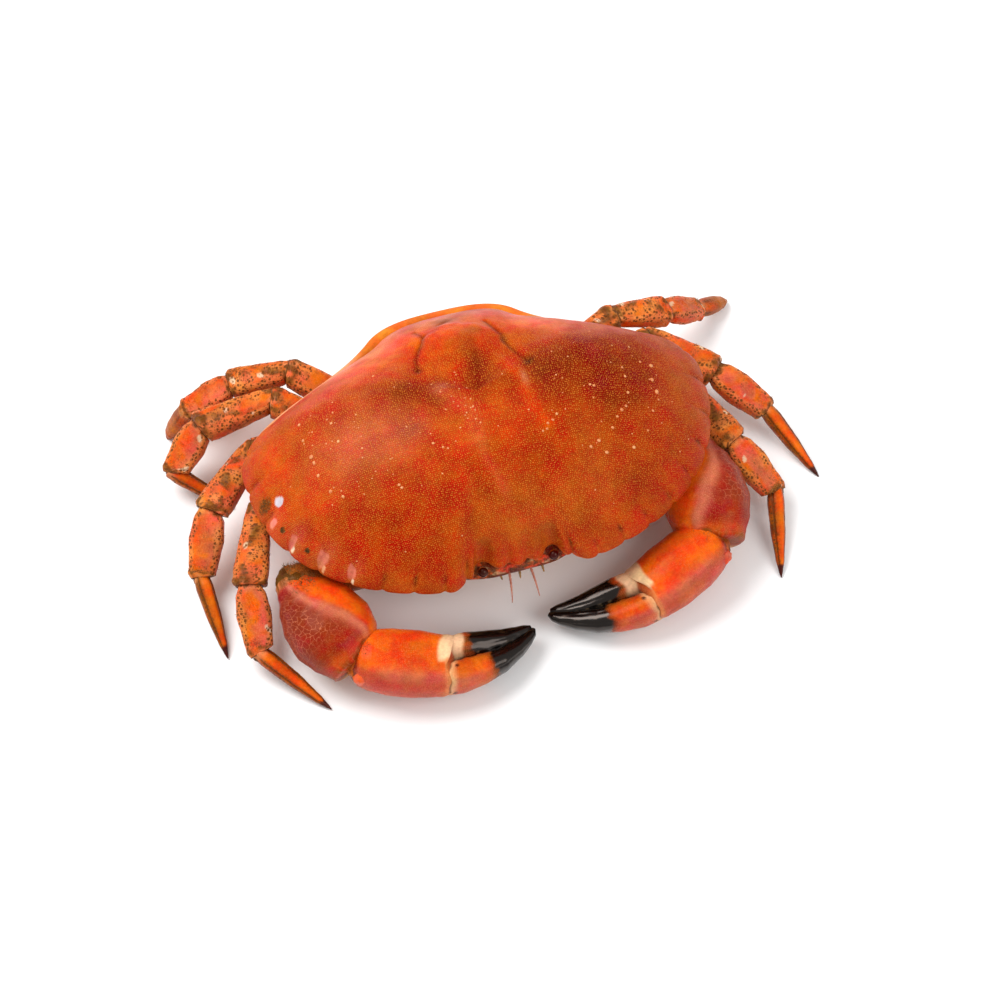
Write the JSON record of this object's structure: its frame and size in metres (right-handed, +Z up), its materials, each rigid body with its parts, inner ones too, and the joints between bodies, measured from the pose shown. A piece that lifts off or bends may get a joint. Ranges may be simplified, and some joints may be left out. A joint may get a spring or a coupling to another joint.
{
  "type": "cooked crab",
  "caption": "Whole cooked edible crab with a scalloped oval shell, black-tipped claws folded in front and jointed walking legs bent forward.",
  "frame": {"origin": "centre of the bounding box in plan, at the level of the surface the crab rests on", "axes": "+X towards the crab's own left, -Y towards its front, +Z up"},
  "size_m": [0.2352, 0.1434, 0.0682],
  "materials": {
    "upper_shell": "orange-red cooked shell, satin, dotted with fine pale granules",
    "under_shell": "cream to pale orange underside, satin",
    "claw_shell": "smooth orange and brick-red shell with black glossy fingertips",
    "leg_shell": "orange and pink leg shell with dark pits along the ridges",
    "leg_toe": "grooved orange-brown toes with dark tips",
    "eye": "dark, wet gloss",
    "feeler": "thin pinkish feelers"
  },
  "bodies": {
    "root": {"upper_shell": "upper_shell", "lower_body": "under_shell", "tail_flap": "under_shell", "mouth_plate_left": "under_shell", "eye_left": "eye", "antenna_left": "feeler", "claw_left_arm": "claw_shell", "claw_left_wrist": "claw_shell", "claw_left_palm": "claw_shell", "claw_left_finger": "claw_shell", "leg_left_1_thigh": "leg_shell", "leg_left_1_knee": "leg_shell", "leg_left_1_shank": "leg_shell", "leg_left_1_toe": "leg_toe", "leg_left_2_thigh": "leg_shell", "leg_left_2_knee": "leg_shell", "leg_left_2_shank": "leg_shell", "leg_left_2_toe": "leg_toe", "leg_left_3_thigh": "leg_shell", "leg_left_3_knee": "leg_shell", "leg_left_3_shank": "leg_shell", "leg_left_3_toe": "leg_toe", "leg_left_4_thigh": "leg_shell", "leg_left_4_knee": "leg_shell", "leg_left_4_shank": "leg_shell", "leg_left_4_toe": "leg_toe", "mouth_plate_right": "under_shell", "eye_right": "eye", "antenna_right": "feeler", "claw_right_arm": "claw_shell", "claw_right_wrist": "claw_shell", "claw_right_palm": "claw_shell", "claw_right_finger": "claw_shell", "leg_right_1_thigh": "leg_shell", "leg_right_1_knee": "leg_shell", "leg_right_1_shank": "leg_shell", "leg_right_1_toe": "leg_toe", "leg_right_2_thigh": "leg_shell", "leg_right_2_knee": "leg_shell", "leg_right_2_shank": "leg_shell", "leg_right_2_toe": "leg_toe", "leg_right_3_thigh": "leg_shell", "leg_right_3_knee": "leg_shell", "leg_right_3_shank": "leg_shell", "leg_right_3_toe": "leg_toe", "leg_right_4_thigh": "leg_shell", "leg_right_4_knee": "leg_shell", "leg_right_4_shank": "leg_shell", "leg_right_4_toe": "leg_toe"}
  },
  "joints": []
}
